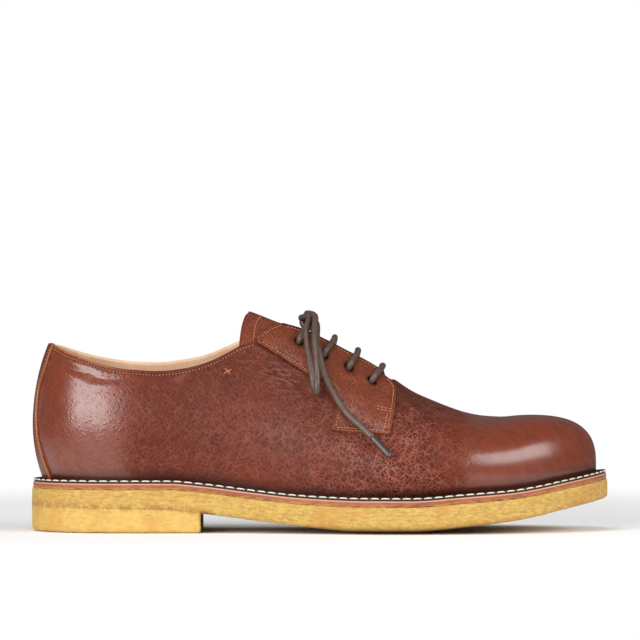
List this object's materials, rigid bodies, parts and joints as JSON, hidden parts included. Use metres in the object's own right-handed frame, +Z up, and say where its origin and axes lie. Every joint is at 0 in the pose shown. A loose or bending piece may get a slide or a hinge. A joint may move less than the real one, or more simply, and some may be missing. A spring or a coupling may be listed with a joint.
{
  "type": "derby shoe",
  "caption": "Plain-toe leather derby shoe for the right foot, laced, with stitched facings, a welt, a leather midsole and a crepe sole with a low heel.",
  "frame": {"origin": "on the floor, at the middle of the bounding box seen from above, measured without the knot, loops and ends of the lace", "axes": "+X towards the toe, along the sole's length; +Y towards the inner side of the foot; +Z up"},
  "size_m": [0.2979, 0.1114, 0.1135],
  "materials": {
    "crepe": "matt natural crepe, yellow ochre, finely pitted",
    "midsole_leather": "smooth reddish tan edge",
    "welt_leather": "dark brown, waxed",
    "insole_leather": "plain tan lining leather",
    "upper_leather": "tumbled grain, reddish brown, waxed gloss",
    "facing_leather": "finer grain, reddish brown, satin",
    "lace": "round waxed cotton lace, dark grey-brown",
    "aglet": "clear film over the lace"
  },
  "bodies": {
    "root": {"outsole": "crepe", "heel_lift": "crepe", "midsole": "midsole_leather", "welt": "welt_leather", "insole": "insole_leather", "upper": "upper_leather", "back_strap": "facing_leather", "tongue": "upper_leather", "facing_outer": "facing_leather", "facing_inner": "facing_leather", "lace_bar_1": "lace", "lace_bar_2": "lace", "lace_bar_3": "lace", "lace_bar_4": "lace", "lace_knot": "lace", "lace_loop_outer": "lace", "lace_loop_inner": "lace", "lace_end_outer": "lace", "lace_end_inner": "lace", "aglet_outer": "aglet", "aglet_inner": "aglet"}
  },
  "joints": []
}
